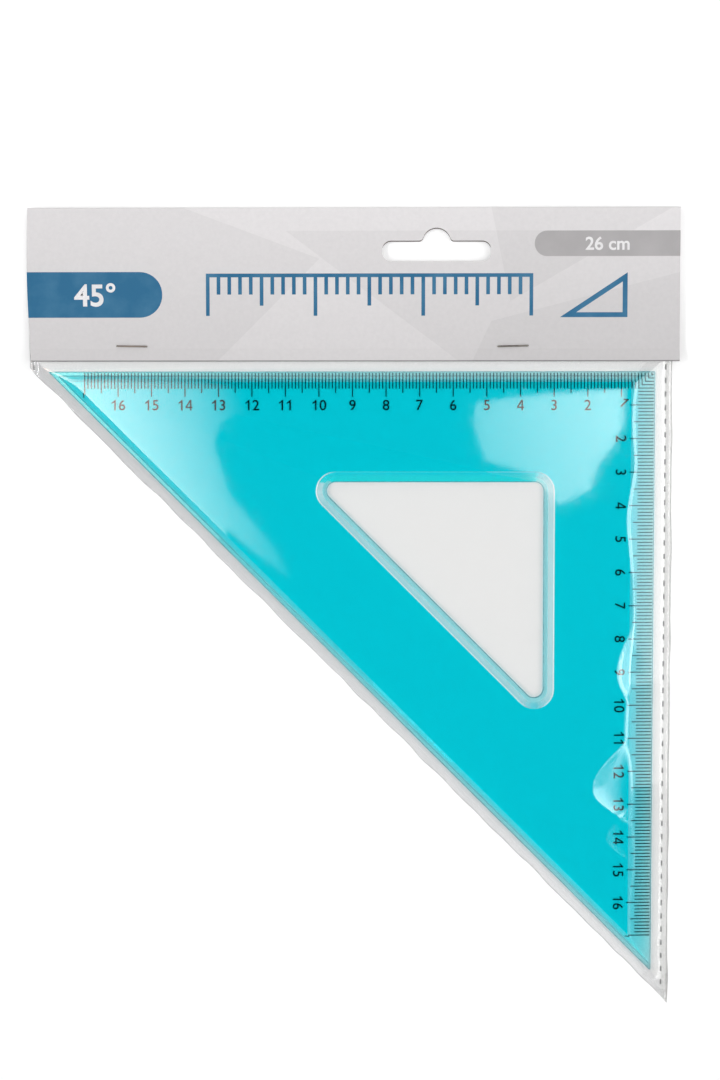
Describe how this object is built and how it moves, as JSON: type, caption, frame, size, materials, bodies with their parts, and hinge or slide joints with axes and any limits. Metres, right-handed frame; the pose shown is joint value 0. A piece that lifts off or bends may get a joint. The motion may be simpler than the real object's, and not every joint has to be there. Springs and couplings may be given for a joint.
{
  "type": "packed drafting triangle",
  "caption": "45 degree see-through plastic set square with printed scales along both legs and a triangular opening, loose in a clear film sleeve under a stapled hang card.",
  "frame": {"origin": "under the middle of the pack's bounding box, on the plane that the back film lies on", "axes": "+X along the top leg towards the right angle, +Y up towards the header card, +Z out of the front of the pack"},
  "size_m": [0.1934, 0.2388, 0.0025],
  "materials": {
    "tinted_plastic": "clear moulded polystyrene, tinted teal, polished",
    "ink": "printed ink, matt black",
    "clear_film": "clear glossy polypropylene film",
    "weld": "hazy heat weld",
    "card": "printed coated card, satin",
    "staple_wire": "bright drawn wire"
  },
  "bodies": {
    "pack": {"sleeve_front_film": "clear_film", "sleeve_back_film": "clear_film", "sleeve_right_weld": "weld", "sleeve_left_weld": "weld", "header_card": "card", "left_staple": "staple_wire", "right_staple": "staple_wire"},
    "set_square": {"set_square": "tinted_plastic", "top_scale_ticks": "ink", "side_scale_ticks": "ink"}
  },
  "joints": [
    {"name": "shift_in_sleeve", "type": "slide", "parent": "pack", "child": "set_square", "axis": [0, 1, 0], "range_m": [-0.0015, 0.0015]}
  ]
}
